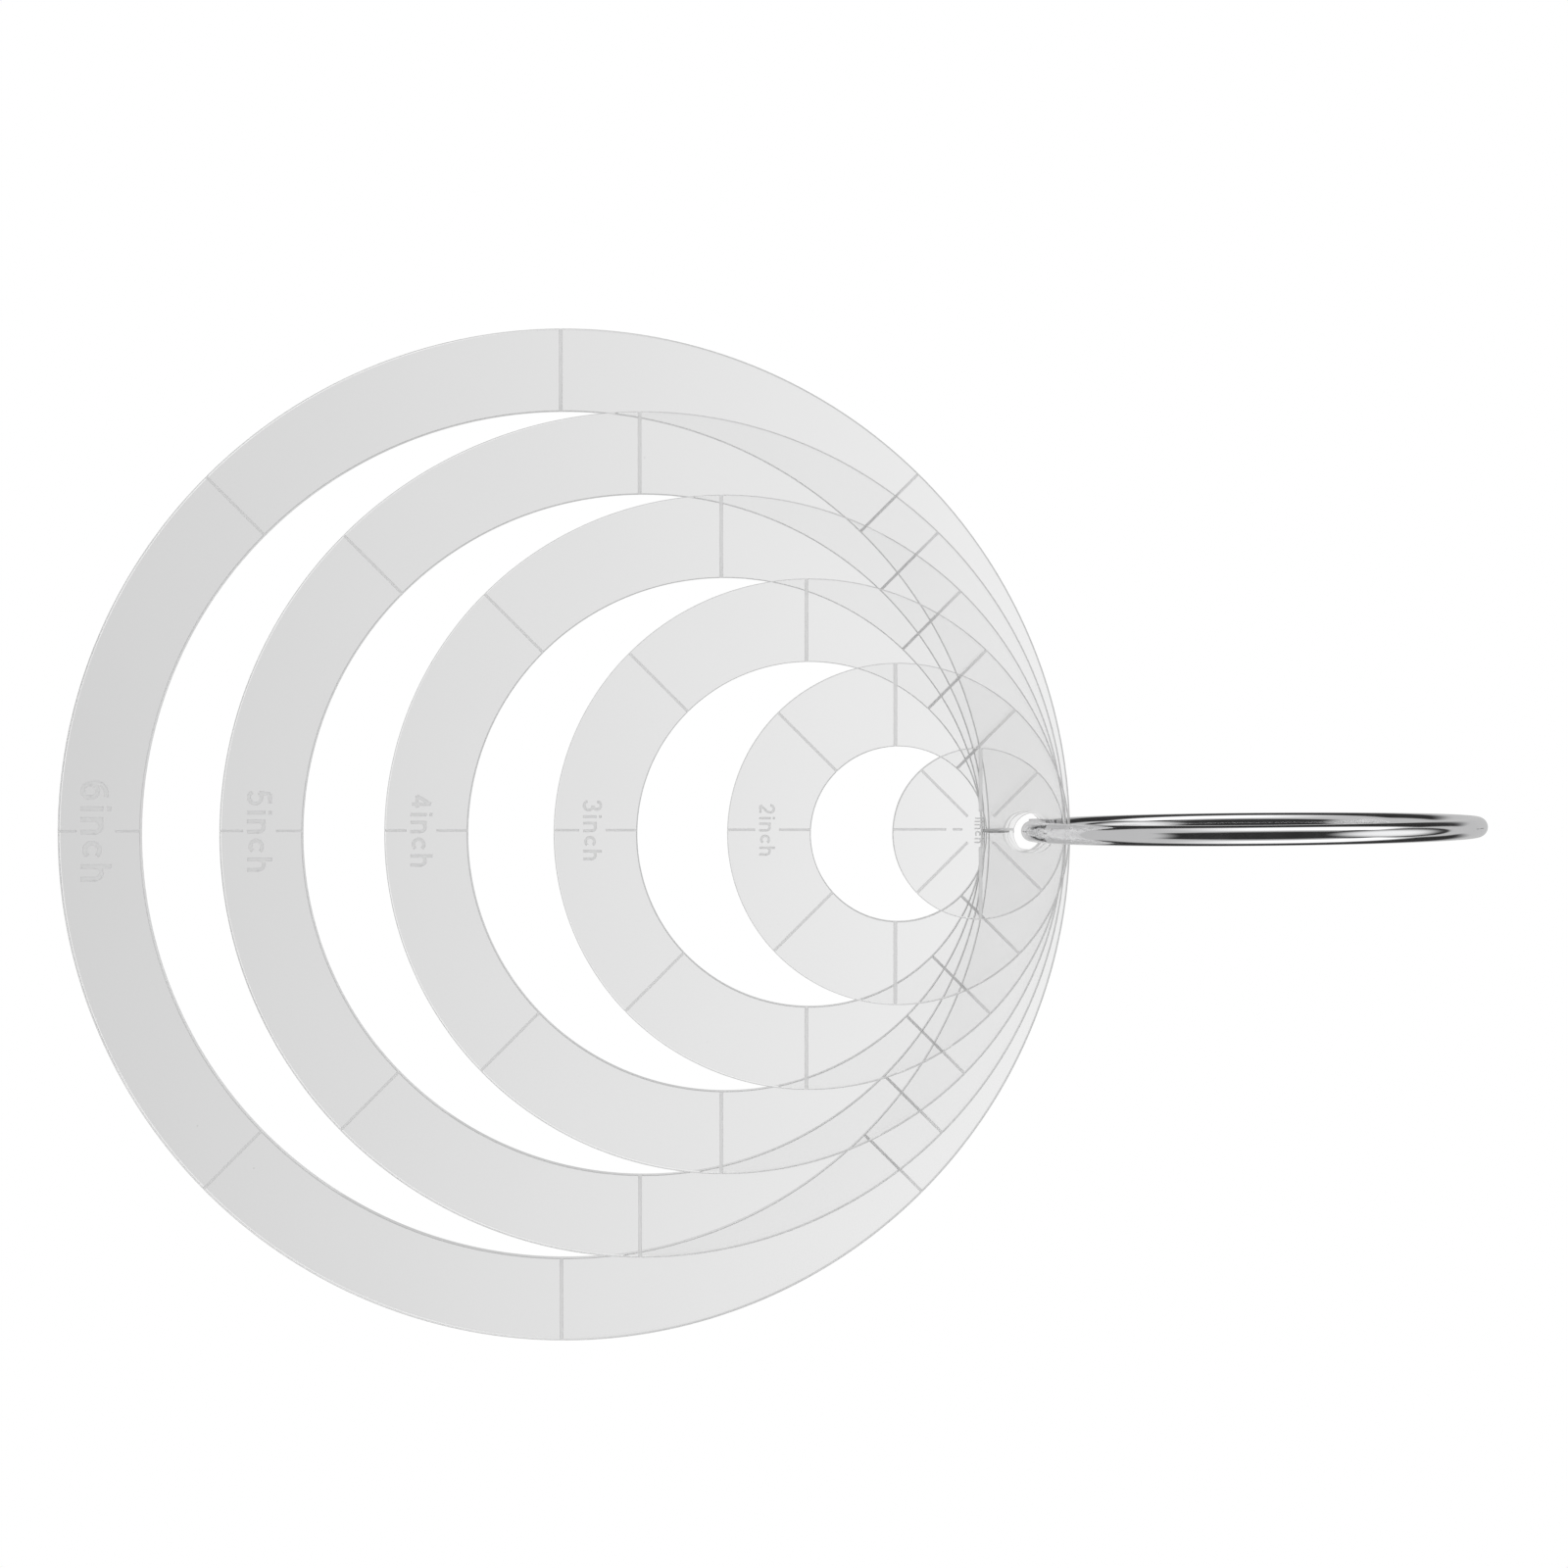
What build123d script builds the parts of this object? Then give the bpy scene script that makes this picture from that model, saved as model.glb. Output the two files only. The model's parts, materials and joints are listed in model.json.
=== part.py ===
from build123d import *
import os
from math import radians, sin, cos, sqrt, degrees

# A set of six clear sheet circle templates, hanging from a hinged metal book ring.
# Millimetres. +Z is up, the engraved faces look along -Y, and the origin is the top of the
# ring's inside, where a hook bears. The ring stands in the YZ plane.

# Driving dimensions: the templates
inch = 25.4
template_sizes = (1, 2, 3, 4, 5, 6)
sheet_thickness = 3.0
sheet_gap = 0.12
nesting_clearance = 0.3
edge_break = 0.12
hang_hole_diameter = 6.0
disc_hole_margin = 4.5

# Driving dimensions: the engraving
engraving_depth = 0.15
engraving_shift = (-0.65, -0.45)
disc_engraving_shift = (-0.65, 0.3)
engraving_turn = -0.65
level_mark_width = 0.55
upright_mark_width = 0.35
diagonal_mark_width = 0.40
disc_mark_start = 2.7
disc_mark_gap = (4.1, 5.1)
mark_overrun = 2.0
label_heights = {1: 1.35, 2: 2.35, 3: 2.75, 4: 3.3, 5: 3.75, 6: 4.65}
label_baselines = {1: 12.1, 2: 4.75, 3: 4.4, 4: 3.9, 5: 4.15, 6: 3.45}
label_margin = 0.6

# Driving dimensions: the book ring
ring_inside_radius = 63.5 / 2
wire_diameter = 3.0
hinge_angle = 21.5
lap_length = 4.0
lap_clearance = 0.03
end_clearance = 0.08
eye_radius = 2.1
eye_clearance = 0.3
rivet_radius = 0.8
rivet_head_radius = 1.2
rivet_head_depth = 0.4
rivet_clearance = 0.05
snap_radius = 0.45
snap_height = 0.28
snap_groove_width = 1.3
snap_groove_depth = 0.4
hang_clearance = 0.05

# Worked out from the driving dimensions
pitch = sheet_thickness + sheet_gap
wire_radius = wire_diameter / 2
ring_radius = ring_inside_radius + wire_radius
ring_centre = (0, 0, -ring_inside_radius)
ring_axis = Axis(ring_centre, (1, 0, 0))
latch_angle = hinge_angle - 180
lap_angle = degrees(lap_length / 2 / ring_radius)


def ring_point(angle):
    """A point on the wire's centre line, measured from the bottom of the ring towards +Y."""
    turn = radians(angle)
    return (0, ring_radius * sin(turn), ring_centre[2] - ring_radius * cos(turn))


def ring_plane(angle):
    """The plane square to the wire at an angle, with X across the ring."""
    turn = radians(angle)
    return Plane(ring_point(angle), x_dir=(1, 0, 0), z_dir=(0, cos(turn), sin(turn)))


def side_plane(angle, x):
    """The plane parallel to the ring at a distance x from its middle, facing +X."""
    y, z = ring_point(angle)[1:]
    turn = radians(angle)
    return Plane((x, y, z), x_dir=(0, cos(turn), sin(turn)), z_dir=(1, 0, 0))


rivet_axis = Axis(ring_point(hinge_angle), (1, 0, 0))


def hang_height(y):
    """The height of the hole's centre in a sheet that hangs on the wire with its middle at y."""
    reach = abs(y) + sheet_thickness / 2
    wire_top = ring_centre[2] - sqrt(ring_inside_radius ** 2 - reach ** 2)
    return wire_top + hang_clearance - hang_hole_diameter / 2


# Stroke lettering: each letter is lines (two points) and arcs (three points) on a grid where
# the tall letters are 1 high, with the width that the letter takes. Points are the middle of
# the stroke.
stroke = 0.15
low = stroke / 2
high = 1 - stroke / 2
mid = 0.74 - stroke / 2
letters = {
    "1": (0.36, [((0.28, low), (0.28, high)), ((0.28, high), (0.08, 0.74))]),
    "2": (0.62, [((0.08, 0.70), (0.31, high), (0.54, 0.70)), ((0.54, 0.70), (0.47, 0.50), (0.34, 0.36)),
                 ((0.34, 0.36), (0.08, low)), ((0.08, low), (0.56, low))]),
    "3": (0.62, [((0.08, 0.76), (0.48, 0.84), (0.30, 0.53)), ((0.30, 0.53), (0.52, 0.22), (0.06, 0.24))]),
    "4": (0.64, [((0.44, low), (0.44, high)), ((0.44, high), (0.06, 0.30)), ((0.06, 0.30), (0.60, 0.30))]),
    "5": (0.62, [((0.52, high), (0.15, high)), ((0.15, high), (0.10, 0.50)),
                 ((0.10, 0.50), (0.53, 0.36), (0.07, 0.20))]),
    "6": (0.62, [((0.51, 0.82), (0.14, 0.72), (0.10, 0.33)), ((0.10, 0.33), (0.31, 0.56), (0.53, 0.33)),
                 ((0.53, 0.33), (0.31, low), (0.10, 0.33))]),
    "i": (0.15, [((low, 0.0), (low, 0.74)), ((low, 0.86), (low, 1.0))]),
    "n": (0.56, [((low, 0.0), (low, 0.74)), ((low, 0.44), (0.29, mid), (0.49, 0.44)),
                 ((0.49, 0.44), (0.49, 0.0))]),
    "c": (0.56, [((0.50, 0.52), (low, 0.37), (0.50, 0.22))]),
    "h": (0.56, [((low, 0.0), (low, 1.0)), ((low, 0.44), (0.29, mid), (0.49, 0.44)),
                 ((0.49, 0.44), (0.49, 0.0))]),
}
letter_gap = 0.2


def label_strokes(text, height):
    """The strokes of a label, centred on X = 0 with its baseline on Y = 0, and its length."""
    strokes = []
    pen = 0
    for letter in text:
        width, paths = letters[letter]
        for path in paths:
            strokes.append([((pen + x) * height, y * height) for x, y in path])
        pen += width + letter_gap
    length = (pen - letter_gap) * height
    return [[(x - length / 2, y) for x, y in path] for path in strokes], length


def make_template(size):
    """One sheet ring, or the solid disc of the smallest size, with its hole and engraving."""
    outer = size * inch / 2
    inner = (size - 1) * inch / 2 + nesting_clearance
    middle_y = (size - 3.5) * pitch
    front_y = middle_y - sheet_thickness / 2
    is_disc = size == 1
    hole_margin = disc_hole_margin if is_disc else (outer - inner) / 2
    centre_z = hang_height(middle_y) - outer + hole_margin
    shift_x, shift_z = disc_engraving_shift if is_disc else engraving_shift
    front = Plane((0, front_y, centre_z), x_dir=(1, 0, 0), z_dir=(0, -1, 0))
    marks_level = (cos(radians(engraving_turn)), 0, sin(radians(engraving_turn)))
    marking = Plane((shift_x, front_y, centre_z + shift_z), x_dir=marks_level, z_dir=(0, -1, 0))
    label_height = label_heights[size]
    baseline = label_baselines[size] - outer - shift_z
    strokes, label_length = label_strokes(f"{size}inch", label_height)

    # Each mark is a list of spans, from near to far along its direction
    far = outer + mark_overrun
    if is_disc:
        whole = [(disc_mark_start, far)]
        level = [(label_length / 2 + label_margin, far)]
        lowest = [(disc_mark_start, disc_mark_gap[0]), (disc_mark_gap[1], far)]
    else:
        near = inner - mark_overrun
        whole = [(near, far)]
        level = whole
        lowest = [(near, -baseline - label_height - label_margin), (-baseline + label_margin, far)]

    with BuildPart() as sheet:
        with BuildSketch(front.offset(-sheet_thickness)):
            Circle(outer)
            if not is_disc:
                Circle(inner, mode=Mode.SUBTRACT)
            with Locations((0, outer - hole_margin)):
                Circle(hang_hole_diameter / 2, mode=Mode.SUBTRACT)
        extrude(amount=sheet_thickness)
        round_edges = sheet.edges().filter_by(GeomType.CIRCLE)
        rims = round_edges.filter_by(lambda edge: edge.radius > hang_hole_diameter)
        chamfer(rims, edge_break)

        # Eight marks at 45 degrees, of three widths. The lowest is broken around the size label,
        # and the disc's level ones stop at it.
        with BuildSketch(marking):
            for turn in range(0, 360, 45):
                spans, width = whole, diagonal_mark_width
                if turn in (0, 180):
                    spans, width = level, level_mark_width
                elif turn in (90, 270):
                    spans, width = (whole if turn == 90 else lowest), upright_mark_width
                direction = Vector(cos(radians(turn)), sin(radians(turn)))
                for start, end in spans:
                    with Locations(Location(direction * (start + end) / 2, (0, 0, turn))):
                        Rectangle(end - start, width)
        extrude(amount=-engraving_depth, mode=Mode.SUBTRACT)

        # The size label
        with BuildSketch(marking):
            for points in strokes:
                points = [(x, y + baseline) for x, y in points]
                with BuildLine(mode=Mode.PRIVATE) as pen:
                    if len(points) == 2:
                        Line(*points)
                    else:
                        ThreePointArc(*points)
                trace(pen.line, stroke * label_height)
        extrude(amount=-engraving_depth, mode=Mode.SUBTRACT)
    sheet.part.label = f"template_{size}_inch"
    return sheet.part


def rivet_profile(clearance):
    """Half the outline of the countersunk rivet, with X along it, opened out by a clearance."""
    slope = clearance * (sqrt(2) - 1)
    shaft = rivet_radius + clearance
    neck = wire_radius - rivet_head_depth - slope
    rim = rivet_head_radius + clearance * sqrt(2)
    return [(-wire_radius, 0), (-wire_radius, rim), (-neck, shaft), (neck, shaft),
            (wire_radius, rim), (wire_radius, 0)]


def make_ring_half(start, end, side, label):
    """Half of the book ring. Its lapped ends lie towards -X where side is -1, and +X where it is 1."""
    inner_face = side * lap_clearance
    lap_depth = wire_radius - lap_clearance
    shoulder = lap_length / 2 + end_clearance
    beyond_tip = lap_length
    with BuildPart() as half:
        with BuildSketch(ring_plane(start)):
            Circle(wire_radius)
        revolve(axis=ring_axis, revolution_arc=end - start)

        # The hinge end: halved around the rivet and flattened to an eye
        with BuildSketch(side_plane(hinge_angle, inner_face)):
            Circle(eye_radius + eye_clearance)
        extrude(amount=-side * wire_diameter, mode=Mode.SUBTRACT)
        with BuildSketch(side_plane(hinge_angle, inner_face)):
            Circle(eye_radius)
        extrude(amount=side * lap_depth)
        with BuildSketch(ring_plane(hinge_angle)):
            with BuildLine():
                Polyline(rivet_profile(rivet_clearance if side < 0 else 0), close=True)
            make_face()
        revolve(axis=rivet_axis, mode=Mode.SUBTRACT)

        # The latch end: halved over the length of the lap
        with BuildSketch(side_plane(latch_angle, inner_face)):
            with Locations((-side * (beyond_tip - shoulder) / 2, 0)):
                Rectangle(beyond_tip + shoulder, 2 * wire_diameter)
        extrude(amount=-side * wire_diameter, mode=Mode.SUBTRACT)
        with BuildSketch(side_plane(latch_angle, inner_face)):
            if side < 0:
                with Locations(((beyond_tip - snap_groove_width / 2) / 2, 0)):
                    Rectangle(beyond_tip + snap_groove_width / 2, snap_groove_width)
            else:
                Circle(snap_radius)
        if side < 0:
            extrude(amount=-snap_groove_depth, mode=Mode.SUBTRACT)
        else:
            extrude(amount=-(2 * lap_clearance + snap_height))
    half.part.label = label
    return half.part


def make_rivet():
    """The countersunk pin of the ring's hinge, closed flush with the outside of both eyes."""
    with BuildPart() as rivet:
        with BuildSketch(ring_plane(hinge_angle)):
            with BuildLine():
                Polyline(rivet_profile(0), close=True)
            make_face()
        revolve(axis=rivet_axis)
    rivet.part.label = "hinge_rivet"
    return rivet.part


pieces = [make_template(size) for size in template_sizes]
pieces.append(make_ring_half(latch_angle - lap_angle, hinge_angle, 1, "ring_front_half"))
pieces.append(make_ring_half(hinge_angle, latch_angle + 360 + lap_angle, -1, "ring_rear_half"))
pieces.append(make_rivet())

os.makedirs("parts", exist_ok=True)
for piece in pieces:
    export_step(piece, f"parts/{piece.label}.step")
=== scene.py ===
import json
from math import cos, radians, sin, tau

import bmesh
import bpy
from mathutils import Matrix, Vector


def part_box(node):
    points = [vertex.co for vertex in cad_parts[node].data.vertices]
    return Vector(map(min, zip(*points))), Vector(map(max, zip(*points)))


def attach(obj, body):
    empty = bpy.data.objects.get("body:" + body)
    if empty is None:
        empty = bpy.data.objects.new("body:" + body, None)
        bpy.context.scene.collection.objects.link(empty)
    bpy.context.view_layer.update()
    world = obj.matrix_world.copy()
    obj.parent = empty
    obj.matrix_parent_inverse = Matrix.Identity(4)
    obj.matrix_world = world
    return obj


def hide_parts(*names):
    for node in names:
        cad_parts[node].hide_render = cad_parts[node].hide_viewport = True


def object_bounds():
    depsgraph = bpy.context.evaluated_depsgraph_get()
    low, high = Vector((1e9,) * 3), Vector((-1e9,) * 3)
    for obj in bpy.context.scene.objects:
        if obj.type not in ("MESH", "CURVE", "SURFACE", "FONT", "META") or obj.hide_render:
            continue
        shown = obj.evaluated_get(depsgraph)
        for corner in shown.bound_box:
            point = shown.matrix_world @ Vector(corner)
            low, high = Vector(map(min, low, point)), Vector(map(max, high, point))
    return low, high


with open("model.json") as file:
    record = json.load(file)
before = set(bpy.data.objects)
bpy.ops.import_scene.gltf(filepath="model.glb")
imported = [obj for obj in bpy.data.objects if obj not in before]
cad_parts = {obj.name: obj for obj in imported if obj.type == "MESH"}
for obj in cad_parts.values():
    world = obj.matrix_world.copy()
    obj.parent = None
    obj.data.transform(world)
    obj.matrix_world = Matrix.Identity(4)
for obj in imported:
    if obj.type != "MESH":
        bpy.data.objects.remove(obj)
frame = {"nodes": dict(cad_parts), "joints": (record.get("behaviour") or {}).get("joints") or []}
cad_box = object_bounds()
mm = 0.001

# ---- Camera ---------------------------------------------------------------------------------
# It looks at the engraved faces from the front, level, and lies on its side, so that the
# hanging ring points to the right of the picture.
camera_distance = 0.848
camera_aim = Vector((-0.0075, 0.0, -0.1019))
camera_from = Vector((-0.02096, -0.99977, -0.00516)).normalized()
frame_width = 0.2343
picture_right = Vector((0.01137, -0.00539, 0.99992))

lens = bpy.data.cameras.new("camera")
lens.sensor_width = 36
lens.lens = lens.sensor_width * camera_distance / frame_width
camera = bpy.data.objects.new("camera", lens)
bpy.context.scene.collection.objects.link(camera)
bpy.context.scene.camera = camera
picture_up = camera_from.cross(picture_right).normalized()
picture_right = picture_up.cross(camera_from)
camera.matrix_world = Matrix.Translation(camera_aim + camera_from * camera_distance) @ Matrix(
    (picture_right, picture_up, camera_from)).transposed().to_4x4()


# ---- Sheet templates ------------------------------------------------------------------------
# Five flat rings and one small disc, laser cut from clear 3 mm acrylic sheet so that each ring's
# opening takes the next size down. Radial marks and the size are engraved on the front, and a
# 6 mm hole near the rim hangs each of them on the book ring.
inch = 25.4 * mm
nesting_clearance = 0.3 * mm
edge_break = 0.12 * mm
hang_hole_radius = 3.0 * mm
engraving_depth = 0.15 * mm
mark_overrun = 2.0 * mm
mark_widths = {"level": 0.55 * mm, "upright": 0.35 * mm, "diagonal": 0.40 * mm}
mark_shift = Vector((-0.65, 0, -0.45)) * mm
disc_mark_shift = Vector((-0.65, 0, 0.3)) * mm
engraving_turn = radians(-0.65)
disc_mark_start = 2.7 * mm
disc_mark_gap = (4.1 * mm, 5.1 * mm)
label_margin = 0.6 * mm
label_heights = {1: 1.35 * mm, 2: 2.35 * mm, 3: 2.75 * mm, 4: 3.3 * mm, 5: 3.75 * mm, 6: 4.65 * mm}
label_baselines = {1: 12.1 * mm, 2: 4.75 * mm, 3: 4.4 * mm, 4: 3.9 * mm, 5: 4.15 * mm, 6: 3.45 * mm}
rim_segments = 288
hole_segments = 96
arc_steps = 16
wall_sides = 4
tool_clearance = 1.0 * mm
smooth_below = radians(20)
# Lower than real acrylic's 1.49, so that the rims of stacked sheets stay faint.
sheet_ior = 1.34


def node_maker(tree):
    """A short way to add a node to a tree, set its values and link its inputs."""
    def add(kind, values=None, links=None, **settings):
        made = tree.nodes.new(kind)
        for name, value in settings.items():
            setattr(made, name, value)
        for name, value in (values or {}).items():
            made.inputs[name].default_value = value
        for name, source in (links or {}).items():
            tree.links.new(source, made.inputs[name])
        return made
    return add


def surface(name):
    """An empty material with its principled shader, and the node maker for it."""
    material = bpy.data.materials.new(name)
    material.use_nodes = True
    tree = material.node_tree
    tree.nodes.clear()
    add = node_maker(tree)
    shader = add("ShaderNodeBsdfPrincipled")
    add("ShaderNodeOutputMaterial", links={"Surface": shader.outputs["BSDF"]})
    return material, tree, add, shader


def clear_sheet_material():
    """Polished acrylic: a faint uneven cast and a few specks of dust."""
    material, tree, add, shader = surface("clear_sheet")
    place = add("ShaderNodeTexCoord").outputs["Object"]
    drift = add("ShaderNodeTexNoise", {"Scale": 55, "Detail": 3}, {"Vector": place}).outputs["Fac"]
    tint = add("ShaderNodeValToRGB", links={"Fac": drift})
    tint.color_ramp.elements[0].color = (0.957, 0.957, 0.957, 1)
    tint.color_ramp.elements[1].color = (0.976, 0.976, 0.976, 1)
    cells = add("ShaderNodeTexVoronoi", {"Scale": 160}, {"Vector": place})
    near = add("ShaderNodeMapRange", {"From Min": 0.012, "From Max": 0.022, "To Min": 1, "To Max": 0},
               {"Value": cells.outputs["Distance"]})
    chosen = add("ShaderNodeSeparateColor", links={"Color": cells.outputs["Color"]})
    rare = add("ShaderNodeMath", {1: 0.82}, {0: chosen.outputs["Red"]}, operation="GREATER_THAN")
    dust = add("ShaderNodeMath", links={0: near.outputs["Result"], 1: rare.outputs["Value"]},
               operation="MULTIPLY")
    body = add("ShaderNodeMix", data_type="RGBA")
    clean_side, dusty_side = body.inputs[6], body.inputs[7]
    tree.links.new(dust.outputs["Value"], body.inputs["Factor"])
    tree.links.new(tint.outputs["Color"], clean_side)
    dusty_side.default_value = (0.62, 0.62, 0.61, 1)
    tree.links.new(body.outputs[2], shader.inputs["Base Color"])
    shader.inputs["Roughness"].default_value = 0.01
    shader.inputs["IOR"].default_value = sheet_ior
    shader.inputs["Transmission Weight"].default_value = 1.0
    return material


def cut_edge_material():
    """The laser-cut rim: clear, with the fine upright lines that the beam leaves."""
    material, tree, add, shader = surface("cut_edge")
    shader.inputs["Base Color"].default_value = (0.91, 0.91, 0.91, 1)
    shader.inputs["IOR"].default_value = sheet_ior
    shader.inputs["Transmission Weight"].default_value = 1.0
    place = add("ShaderNodeTexCoord").outputs["Object"]
    flat = add("ShaderNodeMapping", {"Scale": (1, 0.04, 1)}, {"Vector": place})
    lines = add("ShaderNodeTexNoise", {"Scale": 4200, "Detail": 2}, {"Vector": flat.outputs["Vector"]})
    rough = add("ShaderNodeMapRange", {"To Min": 0.05, "To Max": 0.16}, {"Value": lines.outputs["Fac"]})
    tree.links.new(rough.outputs["Result"], shader.inputs["Roughness"])
    bump = add("ShaderNodeBump", {"Strength": 0.25, "Distance": 0.00002}, {"Height": lines.outputs["Fac"]})
    tree.links.new(bump.outputs["Normal"], shader.inputs["Normal"])
    return material


def broken_edge_material():
    """The fine bead along the front of a cut, where the beam melts the edge: a little frosted."""
    material, tree, add, shader = surface("broken_edge")
    shader.inputs["IOR"].default_value = sheet_ior
    shader.inputs["Transmission Weight"].default_value = 0.45
    place = add("ShaderNodeTexCoord").outputs["Object"]
    beads = add("ShaderNodeTexNoise", {"Scale": 2600, "Detail": 2}, {"Vector": place})
    shade = add("ShaderNodeValToRGB", links={"Fac": beads.outputs["Fac"]})
    shade.color_ramp.elements[0].color = (0.50, 0.50, 0.50, 1)
    shade.color_ramp.elements[1].color = (0.68, 0.68, 0.68, 1)
    tree.links.new(shade.outputs["Color"], shader.inputs["Base Color"])
    rough = add("ShaderNodeMapRange", {"To Min": 0.25, "To Max": 0.5}, {"Value": beads.outputs["Fac"]})
    tree.links.new(rough.outputs["Result"], shader.inputs["Roughness"])
    return material


def engraved_material():
    """The floor of a laser-engraved line: frosted and grey, with pits from each pulse."""
    material, tree, add, shader = surface("engraved")
    shader.inputs["Roughness"].default_value = 0.5
    shader.inputs["IOR"].default_value = sheet_ior
    shader.inputs["Transmission Weight"].default_value = 0.3
    place = add("ShaderNodeTexCoord").outputs["Object"]
    pits = add("ShaderNodeTexNoise", {"Scale": 9000, "Detail": 2}, {"Vector": place})
    shade = add("ShaderNodeValToRGB", links={"Fac": pits.outputs["Fac"]})
    shade.color_ramp.elements[0].color = (0.69, 0.69, 0.69, 1)
    shade.color_ramp.elements[1].color = (0.81, 0.81, 0.81, 1)
    tree.links.new(shade.outputs["Color"], shader.inputs["Base Color"])
    bump = add("ShaderNodeBump", {"Strength": 0.4, "Distance": 0.00002}, {"Height": pits.outputs["Fac"]})
    tree.links.new(bump.outputs["Normal"], shader.inputs["Normal"])
    return material


sheet_finishes = [clear_sheet_material(), cut_edge_material(), engraved_material(), broken_edge_material()]
CLEAR, CUT, ENGRAVED, EDGE = range(4)


def lathe_sheet(shape, centre, outer, inner, front, back):
    """Adds a flat ring, or a disc where inner is 0, with broken edges, in the XZ plane."""
    profile = [(outer - edge_break, front), (outer, front + edge_break),
               (outer, back - edge_break), (outer - edge_break, back)]
    finishes = [EDGE, CUT, CLEAR]
    if inner:
        profile += [(inner + edge_break, back), (inner, back - edge_break),
                    (inner, front + edge_break), (inner + edge_break, front)]
        finishes += [CLEAR, CLEAR, CUT, EDGE, CLEAR]
    loops = []
    for radius, y in profile:
        loop = []
        for step in range(rim_segments):
            turn = tau * step / rim_segments
            loop.append(shape.verts.new((centre.x + radius * cos(turn), y, centre.z + radius * sin(turn))))
        loops.append(loop)
    for row, finish in enumerate(finishes):
        here, there = loops[row], loops[(row + 1) % len(loops)]
        for step in range(rim_segments):
            after = (step + 1) % rim_segments
            face = shape.faces.new((here[step], there[step], there[after], here[after]))
            face.material_index = finish
    if not inner:
        for loop in (loops[0], loops[-1]):
            shape.faces.new(loop).material_index = CLEAR


def add_prism(shape, outline, near, far, finish):
    """Adds a closed prism: an outline of (x, z) points, from y near to y far."""
    rings = [[shape.verts.new((x, y, z)) for x, z in outline] for y in (near, far)]
    faces = [shape.faces.new(ring) for ring in rings]
    for step in range(len(outline)):
        after = (step + 1) % len(outline)
        faces.append(shape.faces.new((rings[0][step], rings[0][after], rings[1][after], rings[1][step])))
    for face in faces:
        face.material_index = finish


# Each letter is the width it takes and its strokes, as lines (two points) and arcs (three
# points) on a grid where the tall letters are 1 high. Points are the middle of the stroke.
stroke = 0.15
letter_gap = 0.2
low = stroke / 2
high = 1 - stroke / 2
mid = 0.74 - stroke / 2
letters = {
    "1": (0.36, [((0.28, low), (0.28, high)), ((0.28, high), (0.08, 0.74))]),
    "2": (0.62, [((0.08, 0.70), (0.31, high), (0.54, 0.70)), ((0.54, 0.70), (0.47, 0.50), (0.34, 0.36)),
                 ((0.34, 0.36), (0.08, low)), ((0.08, low), (0.56, low))]),
    "3": (0.62, [((0.08, 0.76), (0.48, 0.84), (0.30, 0.53)), ((0.30, 0.53), (0.52, 0.22), (0.06, 0.24))]),
    "4": (0.64, [((0.44, low), (0.44, high)), ((0.44, high), (0.06, 0.30)), ((0.06, 0.30), (0.60, 0.30))]),
    "5": (0.62, [((0.52, high), (0.15, high)), ((0.15, high), (0.10, 0.50)),
                 ((0.10, 0.50), (0.53, 0.36), (0.07, 0.20))]),
    "6": (0.62, [((0.51, 0.82), (0.14, 0.72), (0.10, 0.33)), ((0.10, 0.33), (0.31, 0.56), (0.53, 0.33)),
                 ((0.53, 0.33), (0.31, low), (0.10, 0.33))]),
    "i": (0.15, [((low, 0.0), (low, 0.74)), ((low, 0.86), (low, 1.0))]),
    "n": (0.56, [((low, 0.0), (low, 0.74)), ((low, 0.44), (0.29, mid), (0.49, 0.44)),
                 ((0.49, 0.44), (0.49, 0.0))]),
    "c": (0.56, [((0.50, 0.52), (low, 0.37), (0.50, 0.22))]),
    "h": (0.56, [((low, 0.0), (low, 1.0)), ((low, 0.44), (0.29, mid), (0.49, 0.44)),
                 ((0.49, 0.44), (0.49, 0.0))]),
}


def arc_points(start, through, end):
    """Points along the arc through three points."""
    (ax, ay), (bx, by), (cx, cy) = start, through, end
    d = 2 * (ax * (by - cy) + bx * (cy - ay) + cx * (ay - by))
    a2, b2, c2 = ax * ax + ay * ay, bx * bx + by * by, cx * cx + cy * cy
    ux = (a2 * (by - cy) + b2 * (cy - ay) + c2 * (ay - by)) / d
    uy = (a2 * (cx - bx) + b2 * (ax - cx) + c2 * (bx - ax)) / d
    middle = Vector((ux, uy))
    first = Vector(start) - middle
    across = Vector(end) - middle
    turned = -1 if (Vector(through) - Vector(start)).cross(Vector(end) - Vector(start)) < 0 else 1
    sweep = first.angle_signed(across) * -1
    if turned > 0 and sweep < 0:
        sweep += tau
    if turned < 0 and sweep > 0:
        sweep -= tau
    turns = [sweep * step / arc_steps for step in range(arc_steps + 1)]
    return [middle + Matrix.Rotation(turn, 2) @ first for turn in turns]


def stroke_outline(points, width):
    """The outline of a pen stroke of one width along the points."""
    points = [Vector(p) for p in points]
    left, right = [], []
    for index, point in enumerate(points):
        ahead = points[min(index + 1, len(points) - 1)] - points[max(index - 1, 0)]
        side = Vector((-ahead.y, ahead.x)).normalized() * width / 2
        left.append(point + side)
        right.append(point - side)
    return left + right[::-1]


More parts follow.
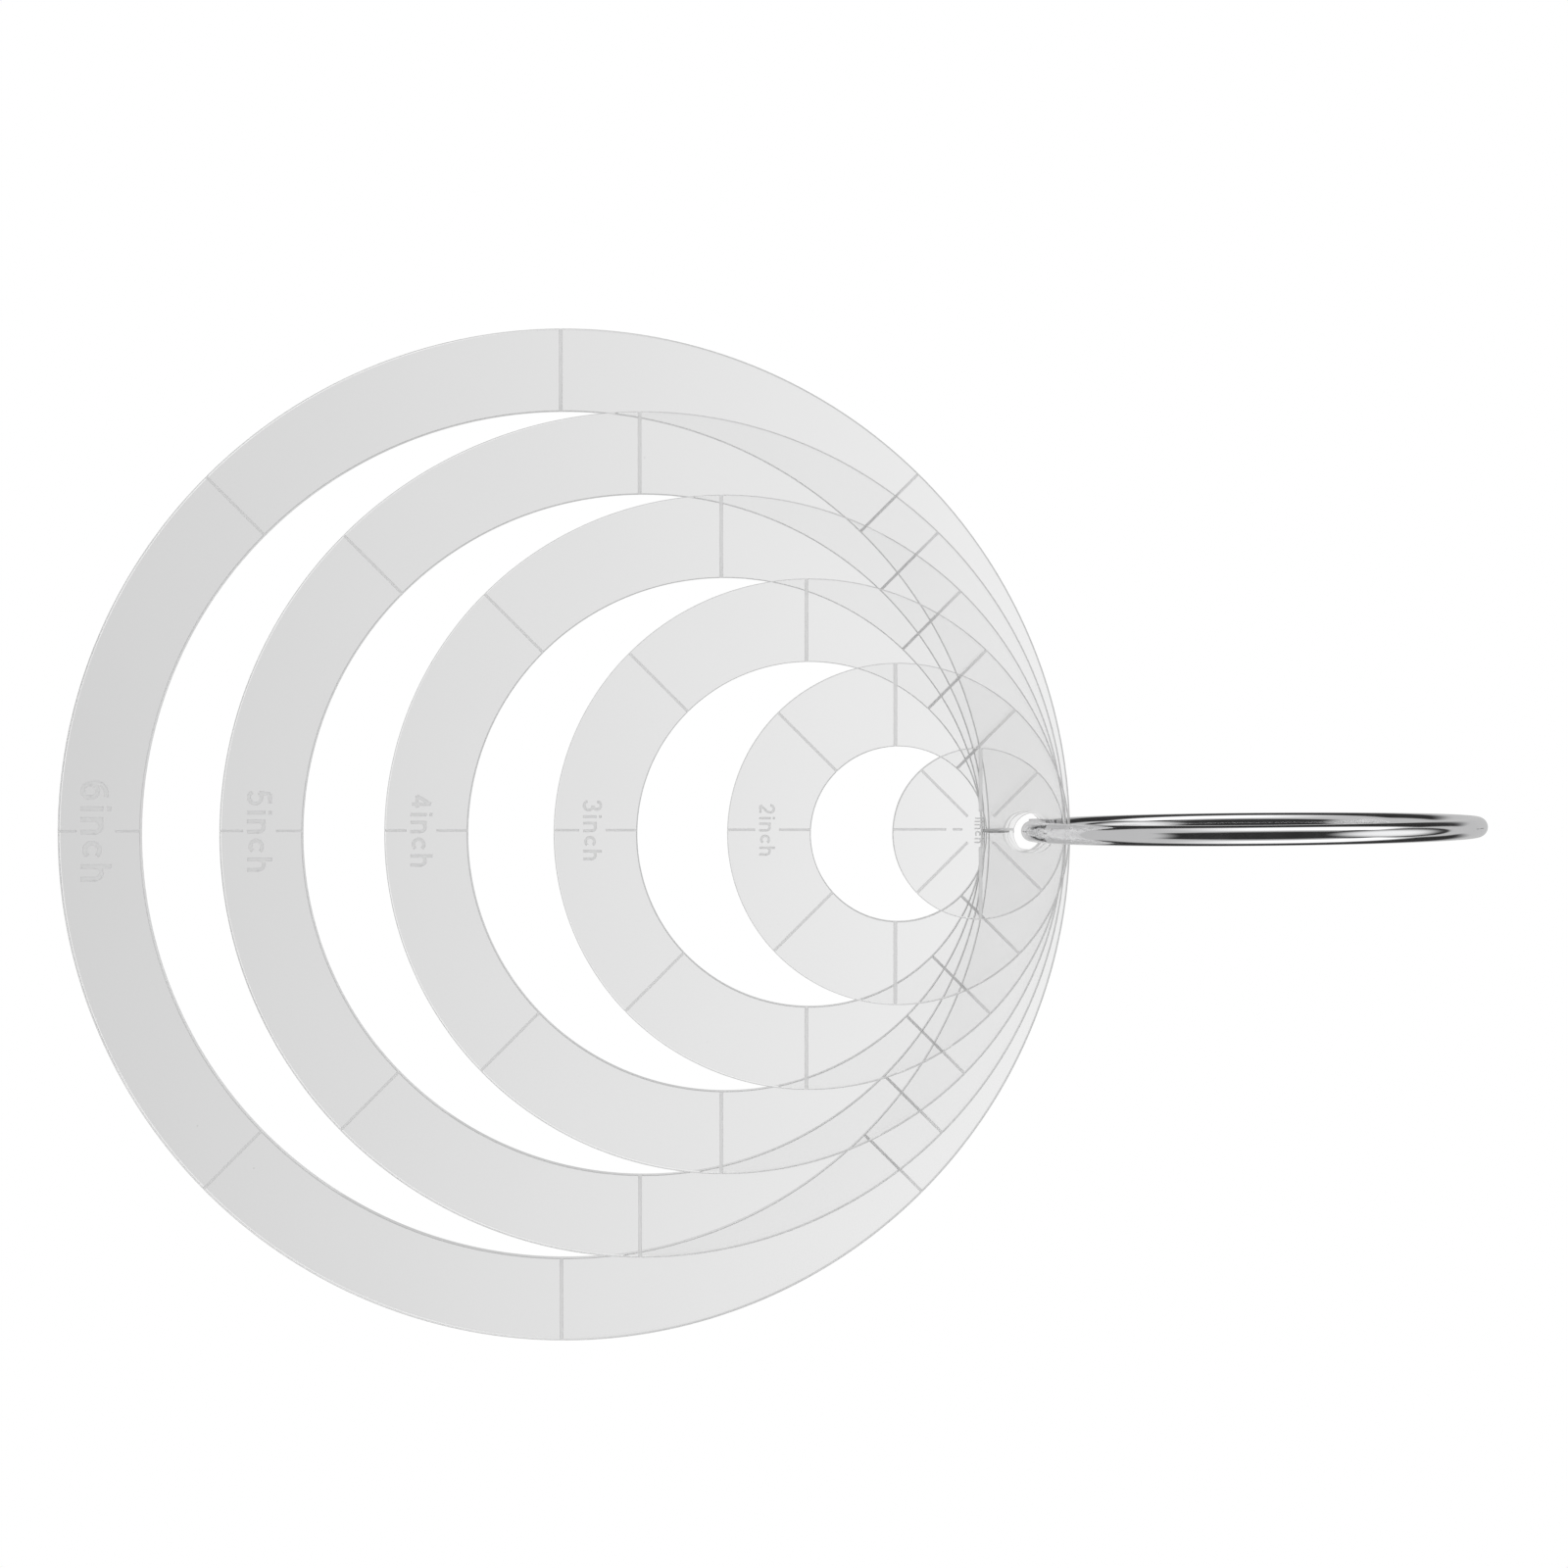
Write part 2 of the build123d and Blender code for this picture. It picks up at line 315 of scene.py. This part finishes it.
def engrave(shape, size, centre, outer, inner, front):
    """Adds the tool that cuts a template's marks and label."""
    near, far = front - tool_clearance, front + engraving_depth
    origin = centre + (mark_shift if inner else disc_mark_shift)
    height = label_heights[size]
    baseline = centre.z - outer + label_baselines[size] - origin.z
    text = f"{size}inch"
    length = (sum(letters[letter][0] for letter in text) + letter_gap * (len(text) - 1)) * height

    reach = outer + mark_overrun
    turned = Matrix.Rotation(engraving_turn, 2)

    def cut_stroke(points, width):
        outline = [turned @ point for point in stroke_outline(points, width)]
        add_prism(shape, [(origin.x + p.x, origin.z + p.y) for p in outline], near, far, ENGRAVED)

    whole = [(inner - mark_overrun if inner else disc_mark_start, reach)]
    level = whole if inner else [(length / 2 + label_margin, reach)]
    if inner:
        lowest = [(whole[0][0], -baseline - height - label_margin), (-baseline + label_margin, reach)]
    else:
        lowest = [(disc_mark_start, disc_mark_gap[0]), (disc_mark_gap[1], reach)]
    for turn in range(0, 360, 45):
        spans, width = whole, mark_widths["diagonal"]
        if turn in (0, 180):
            spans, width = level, mark_widths["level"]
        elif turn in (90, 270):
            spans, width = (whole if turn == 90 else lowest), mark_widths["upright"]
        along = Vector((cos(radians(turn)), sin(radians(turn))))
        for start, end in spans:
            cut_stroke([along * start, along * end], width)

    pen = -length / 2
    for letter in text:
        width, paths = letters[letter]
        for path in paths:
            points = path if len(path) == 2 else arc_points(*path)
            placed = [Vector((pen + x * height, baseline + y * height)) for x, y in points]
            cut_stroke(placed, stroke * height)
        pen += (width + letter_gap) * height


def new_piece(name, shape, finishes):
    """Makes a shape into an object with its faces turned outwards."""
    bmesh.ops.recalc_face_normals(shape, faces=shape.faces)
    mesh = bpy.data.meshes.new(name)
    shape.to_mesh(mesh)
    shape.free()
    for finish in finishes:
        mesh.materials.append(finish)
    piece = bpy.data.objects.new(name, mesh)
    bpy.context.scene.collection.objects.link(piece)
    return piece


def cut_with(piece, tool):
    """Cuts the tool's shape out of the piece, and puts back any small wall the cut left open."""
    cut = piece.modifiers.new("cut", "BOOLEAN")
    cut.operation = "DIFFERENCE"
    cut.solver = "EXACT"
    cut.use_self = True
    cut.material_mode = "TRANSFER"
    cut.object = tool
    bpy.context.view_layer.update()
    done = bpy.data.meshes.new_from_object(piece.evaluated_get(bpy.context.evaluated_depsgraph_get()))
    piece.modifiers.clear()
    piece.data = done
    bpy.data.objects.remove(tool)

    shape = bmesh.new()
    shape.from_mesh(done)
    gaps = [edge for edge in shape.edges if edge.is_boundary]
    for face in bmesh.ops.holes_fill(shape, edges=gaps, sides=wall_sides)["faces"]:
        face.material_index = ENGRAVED
        face.normal_update()
    bmesh.ops.recalc_face_normals(shape, faces=shape.faces)
    shape.to_mesh(done)
    shape.free()


hang_points = {joint["child"]: Vector(joint["pos_m"]) for joint in frame["joints"]}
for size in range(1, 7):
    node = f"template_{size}_inch"
    lowest_corner, highest_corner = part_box(node)
    centre = (lowest_corner + highest_corner) / 2
    outer = size * inch / 2
    inner = (size - 1) * inch / 2 + nesting_clearance if size > 1 else 0
    front, back = lowest_corner.y, highest_corner.y

    shape = bmesh.new()
    lathe_sheet(shape, centre, outer, inner, front, back)
    sheet = new_piece(f"sheet_{size}_inch", shape, sheet_finishes)

    shape = bmesh.new()
    engrave(shape, size, centre, outer, inner, front)
    cut_with(sheet, new_piece("engraving_tool", shape, sheet_finishes))

    shape = bmesh.new()
    hole = hang_points[f"{node}_body"]
    circle = []
    for step in range(hole_segments):
        turn = tau * step / hole_segments
        circle.append((hole.x + hang_hole_radius * cos(turn), hole.z + hang_hole_radius * sin(turn)))
    add_prism(shape, circle, front - tool_clearance, back + tool_clearance, CUT)
    cut_with(sheet, new_piece("hole_tool", shape, sheet_finishes))

    sheet.data.shade_smooth()
    sheet.data.set_sharp_from_angle(angle=smooth_below)
    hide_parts(node)
    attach(sheet, f"{node}_body")


# ---- Book ring and its rivet ----------------------------------------------------------------
# Two half circles of 3 mm steel wire, bright nickel plated. Their ends are halved and flattened:
# one pair is riveted as a hinge, the other pair laps and snaps as the latch.
def plated_wire_material(name, colour):
    """Bright plate on drawn wire: a fine ripple, smudges and rub marks."""
    material, tree, add, shader = surface(name)
    shader.inputs["Metallic"].default_value = 1.0
    place = add("ShaderNodeTexCoord").outputs["Object"]
    smudge = add("ShaderNodeTexNoise", {"Scale": 260, "Detail": 4}, {"Vector": place})
    rough = add("ShaderNodeMapRange", {"From Min": 0.35, "From Max": 0.75, "To Min": 0.05, "To Max": 0.13},
                {"Value": smudge.outputs["Fac"]})
    tree.links.new(rough.outputs["Result"], shader.inputs["Roughness"])
    shade = add("ShaderNodeValToRGB", links={"Fac": smudge.outputs["Fac"]})
    shade.color_ramp.elements[0].color = (*[c * 0.94 for c in colour], 1)
    shade.color_ramp.elements[1].color = (*colour, 1)
    tree.links.new(shade.outputs["Color"], shader.inputs["Base Color"])
    ripple = add("ShaderNodeTexNoise", {"Scale": 1400, "Detail": 3}, {"Vector": place})
    bump = add("ShaderNodeBump", {"Strength": 0.08, "Distance": 0.00001}, {"Height": ripple.outputs["Fac"]})
    tree.links.new(bump.outputs["Normal"], shader.inputs["Normal"])
    return material


wire_finish = plated_wire_material("nickel_plate", (0.90, 0.90, 0.91))
rivet_finish = plated_wire_material("rivet_plate", (0.84, 0.84, 0.85))
for node, finish in (("ring_front_half", wire_finish), ("ring_rear_half", wire_finish),
                     ("hinge_rivet", rivet_finish)):
    wire = frame["nodes"][node]
    wire.data.materials.clear()
    wire.data.materials.append(finish)


# ---- Floor and studio -----------------------------------------------------------------------
# A plain pale round floor below the hanging set, and an even white studio with a dark camera
# side and two tall soft boxes, which only the plated wire shows.
floor_drop = 0.10
floor_radius = 0.30
shape = bmesh.new()
bmesh.ops.create_circle(shape, cap_ends=True, radius=floor_radius, segments=128)
floor_finish, _, _, shader = surface("pale_floor")
shader.inputs["Base Color"].default_value = (0.86, 0.86, 0.86, 1)
shader.inputs["Roughness"].default_value = 0.8
floor = new_piece("floor", shape, [floor_finish])
floor.location = (0, 0, cad_box[0].z - floor_drop)
floor.visible_glossy = False

world = bpy.data.worlds.new("studio")
bpy.context.scene.world = world
world.use_nodes = True
tree = world.node_tree
tree.nodes.clear()
add = node_maker(tree)


def sum_up(operation, first, second=0.0):
    """A math node on sockets or numbers."""
    node = add("ShaderNodeMath", operation=operation)
    for index, value in enumerate((first, second)):
        if isinstance(value, (int, float)):
            node.inputs[index].default_value = value
        else:
            tree.links.new(value, node.inputs[index])
    return node.outputs["Value"]


def step_up(value, start, end):
    """0 below start, 1 above end, and smooth between."""
    node = add("ShaderNodeMapRange", {"From Min": start, "From Max": end}, {"Value": value},
               interpolation_type="SMOOTHSTEP")
    return node.outputs["Result"]


def rises(angle, edges):
    """0 before the first of two angles in degrees, 1 after the second."""
    return step_up(angle, radians(edges[0]), radians(edges[1]))


def falls(angle, edges):
    """1 before the first of two angles in degrees, 0 after the second."""
    return sum_up("SUBTRACT", 1.0, rises(angle, edges))


def blend(factor, first, second):
    """Between two grey values by a factor."""
    rest = sum_up("SUBTRACT", 1.0, factor)
    return sum_up("ADD", sum_up("MULTIPLY", first, rest), sum_up("MULTIPLY", second, factor))


direction = add("ShaderNodeTexCoord").outputs["Generated"]
parts = add("ShaderNodeSeparateXYZ", links={"Vector": direction})
sideways = sum_up("ABSOLUTE", parts.outputs["X"])
to_front = sum_up("MULTIPLY", parts.outputs["Y"], -1.0)
height = parts.outputs["Z"]
azimuth = sum_up("ARCTAN2", sideways, to_front)
elevation = sum_up("ARCSINE", height)

# Brightness, as the plated wire shows it, of each part of the studio, and as seen directly.
room = 0.56
dark = 0.03
soft_box_light = 1.3
overhead_light = 1.0
even_light = 0.95
white_ground = 1.0

# Where each part of the studio fades in and out, in degrees round from the front, up from level,
# or away from the overhead lamp's middle.
lamp_elevation = radians(66)
level_bottom, level_top = (-54, -40), (48, 58)
front_flag_edge = (34, 52)
rear_flag_start, rear_flag_end = (96, 108), (140, 158)
lamp_surround = (43, 39)
lamp_edge = (37, 8)
soft_box_start, soft_box_end = (52, 64), (88, 100)
soft_box_bottom, soft_box_top = (-34, 8), (44, 56)

level_zone = sum_up("MULTIPLY", rises(elevation, level_bottom), falls(elevation, level_top))
front_flag = falls(azimuth, front_flag_edge)
rear_flag = sum_up("MULTIPLY", rises(azimuth, rear_flag_start), falls(azimuth, rear_flag_end))
flags = sum_up("MULTIPLY", sum_up("MAXIMUM", front_flag, rear_flag), level_zone)
lamp = add("ShaderNodeVectorMath", {1: (0, -cos(lamp_elevation), sin(lamp_elevation))}, {0: direction},
           operation="DOT_PRODUCT").outputs["Value"]
surround = step_up(lamp, cos(radians(lamp_surround[0])), cos(radians(lamp_surround[1])))
flags = sum_up("MAXIMUM", flags, surround)
soft_box_width = sum_up("MULTIPLY", rises(azimuth, soft_box_start), falls(azimuth, soft_box_end))
soft_box_height = sum_up("MULTIPLY", rises(elevation, soft_box_bottom), falls(elevation, soft_box_top))
soft_box = sum_up("MULTIPLY", soft_box_width, soft_box_height)
overhead = step_up(lamp, cos(radians(lamp_edge[0])), cos(radians(lamp_edge[1])))
reflected = blend(flags, room, dark)
reflected = blend(soft_box, reflected, soft_box_light)
reflected = blend(overhead, reflected, overhead_light)

# What the clear sheets show through them is dimmer than the white ground beside them, and dimmer
# low down: the sheets' grey comes from here as much as from their own tint.
behind = add("ShaderNodeMapRange", {"From Min": -0.16, "From Max": 0.06, "To Min": 0.63, "To Max": 0.915},
             {"Value": height}).outputs["Result"]
rays = add("ShaderNodeLightPath").outputs
light = blend(rays["Is Glossy Ray"], even_light, reflected)
light = blend(rays["Is Transmission Ray"], light, behind)
light = blend(sum_up("MINIMUM", rays["Diffuse Depth"], 1.0), light, even_light)
light = blend(rays["Is Camera Ray"], light, white_ground)
backdrop = add("ShaderNodeBackground", links={"Color": light})
add("ShaderNodeOutputWorld", links={"Surface": backdrop.outputs["Background"]})

look = bpy.context.scene.view_settings
look.view_transform = "Standard"
bounces = bpy.context.scene.cycles
bounces.transmission_bounces = 24
bounces.max_bounces = 32
bounces.glossy_bounces = 8
